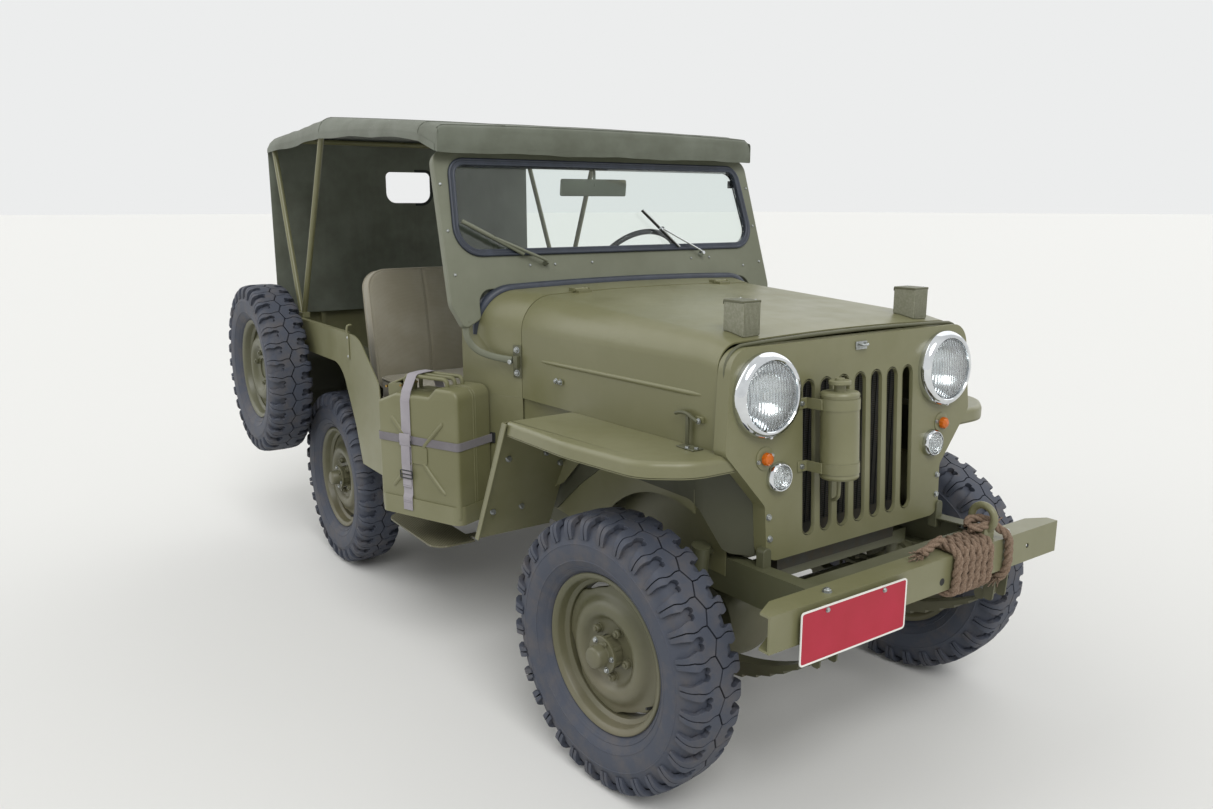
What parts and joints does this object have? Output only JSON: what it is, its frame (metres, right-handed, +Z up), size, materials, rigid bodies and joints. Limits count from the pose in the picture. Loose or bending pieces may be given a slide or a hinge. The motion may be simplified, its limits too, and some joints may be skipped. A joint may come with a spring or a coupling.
{
  "type": "light open-top four-wheel-drive army car",
  "caption": "Open military 4x4 car with canvas top: ladder frame, leaf springs, steered front wheels, opening hood, drop tailgate, spare wheel, fuel can and rope-wound bumper.",
  "frame": {"origin": "on the ground under the middle of the whole car's box", "axes": "+X forward, +Y to the driver's (left) side, +Z up"},
  "size_m": [3.4124, 1.708, 1.905],
  "materials": {
    "olive_paint": "satin olive drab paint",
    "tyre_rubber": "matt rubber",
    "dark_metal": "matt",
    "exhaust_metal": "dull",
    "red_plate": "gloss",
    "brown_rope": "twisted fibre",
    "chrome_lamp": "polished",
    "black_rubber": "matt",
    "clear_glass": "clear",
    "black_plastic": "gloss",
    "seat_canvas": "woven",
    "roof_canvas": "woven canvas"
  },
  "bodies": {
    "root": {"tyre_spare": "tyre_rubber", "wheel_spare": "olive_paint", "spare_carrier": "olive_paint", "front_axle": "olive_paint", "rear_axle": "olive_paint", "leaf_springs": "olive_paint", "frame_rails": "olive_paint", "cross_members": "olive_paint", "shock_absorbers": "olive_paint", "engine_block": "dark_metal", "gearbox": "olive_paint", "prop_shafts": "olive_paint", "exhaust": "exhaust_metal", "radiator": "dark_metal", "tow_fittings": "olive_paint", "front_bumper": "olive_paint", "number_plate": "red_plate", "rope_winding": "brown_rope", "grille": "olive_paint", "lamps": "chrome_lamp", "surge_tank": "olive_paint", "cowl_sides": "olive_paint", "cowl_top": "olive_paint", "firewall": "olive_paint", "dashboard": "olive_paint", "side_panels": "olive_paint", "wheel_boxes": "olive_paint", "body_floor": "olive_paint", "rear_panels": "olive_paint", "front_fenders": "olive_paint", "fender_aprons": "olive_paint", "windscreen_frame": "olive_paint", "windscreen_seal": "black_rubber", "windscreen_glass": "clear_glass", "wiper_arms": "olive_paint", "steering_column": "olive_paint", "driver_seat": "seat_canvas", "passenger_seat": "seat_canvas", "seat_frames": "olive_paint", "side_steps": "olive_paint", "fuel_can": "olive_paint", "can_tray": "olive_paint", "top_bows": "olive_paint", "canvas_top": "roof_canvas"},
    "hood": {"hood": "olive_paint", "hood_blocks": "olive_paint"},
    "tailgate": {"tailgate": "olive_paint"},
    "knuckle_left": {"knuckle_left": "olive_paint"},
    "knuckle_right": {"knuckle_right": "olive_paint"},
    "tie_rod": {"tie_rod": "olive_paint"},
    "steering_wheel": {"steering_wheel": "black_plastic"},
    "road_wheel_front_left": {"tyre_front_left": "tyre_rubber", "wheel_front_left": "olive_paint"},
    "road_wheel_front_right": {"tyre_front_right": "tyre_rubber", "wheel_front_right": "olive_paint"},
    "road_wheel_rear_left": {"tyre_rear_left": "tyre_rubber", "wheel_rear_left": "olive_paint"},
    "road_wheel_rear_right": {"tyre_rear_right": "tyre_rubber", "wheel_rear_right": "olive_paint"}
  },
  "joints": [
    {"name": "steer_left", "type": "hinge", "parent": "root", "child": "knuckle_left", "pos_m": [1.15185, 0.629, 0.377], "axis": [0, 0, 1], "range_deg": [-29, 17]},
    {"name": "steer_right", "type": "hinge", "parent": "root", "child": "knuckle_right", "pos_m": [1.15185, -0.491, 0.377], "axis": [0, 0, 1], "range_deg": [-29, 17]},
    {"name": "tie_rod_pivot", "type": "hinge", "parent": "knuckle_left", "child": "tie_rod", "pos_m": [1.01759, 0.61489, 0.47], "axis": [0, 0, 1], "range_deg": [-17, 29]},
    {"name": "steering_wheel_turn", "type": "hinge", "parent": "root", "child": "steering_wheel", "pos_m": [-0.08815, 0.414, 1.252], "axis": [-0.8793, 0, 0.4762], "range_deg": [-406, 238]},
    {"name": "hood_lift", "type": "hinge", "parent": "root", "child": "hood", "pos_m": [0.50335, 0.069, 1.28], "axis": [0, -1, 0], "range_deg": [0, 95]},
    {"name": "tailgate_drop", "type": "hinge", "parent": "root", "child": "tailgate", "pos_m": [-1.60015, 0.069, 0.61], "axis": [0, -1, 0], "range_deg": [0, 90]},
    {"name": "front_left_spin", "type": "hinge", "parent": "knuckle_left", "child": "road_wheel_front_left", "pos_m": [1.1461, 0.6837, 0.377], "axis": [-0.1045, 0.9945, 0], "continuous": true},
    {"name": "rear_left_spin", "type": "hinge", "parent": "root", "child": "road_wheel_rear_left", "pos_m": [-0.88015, 0.684, 0.377], "axis": [0, 1, 0], "continuous": true},
    {"name": "front_right_spin", "type": "hinge", "parent": "knuckle_right", "child": "road_wheel_front_right", "pos_m": [1.1576, -0.5457, 0.377], "axis": [-0.1045, 0.9945, 0], "continuous": true},
    {"name": "rear_right_spin", "type": "hinge", "parent": "root", "child": "road_wheel_rear_right", "pos_m": [-0.88015, -0.546, 0.377], "axis": [0, 1, 0], "continuous": true}
  ],
  "couplings": [
    {"joint": "steer_right", "follows": "steer_left", "ratio": 1},
    {"joint": "tie_rod_pivot", "follows": "steer_left", "ratio": -1},
    {"joint": "steering_wheel_turn", "follows": "steer_left", "ratio": 14}
  ]
}
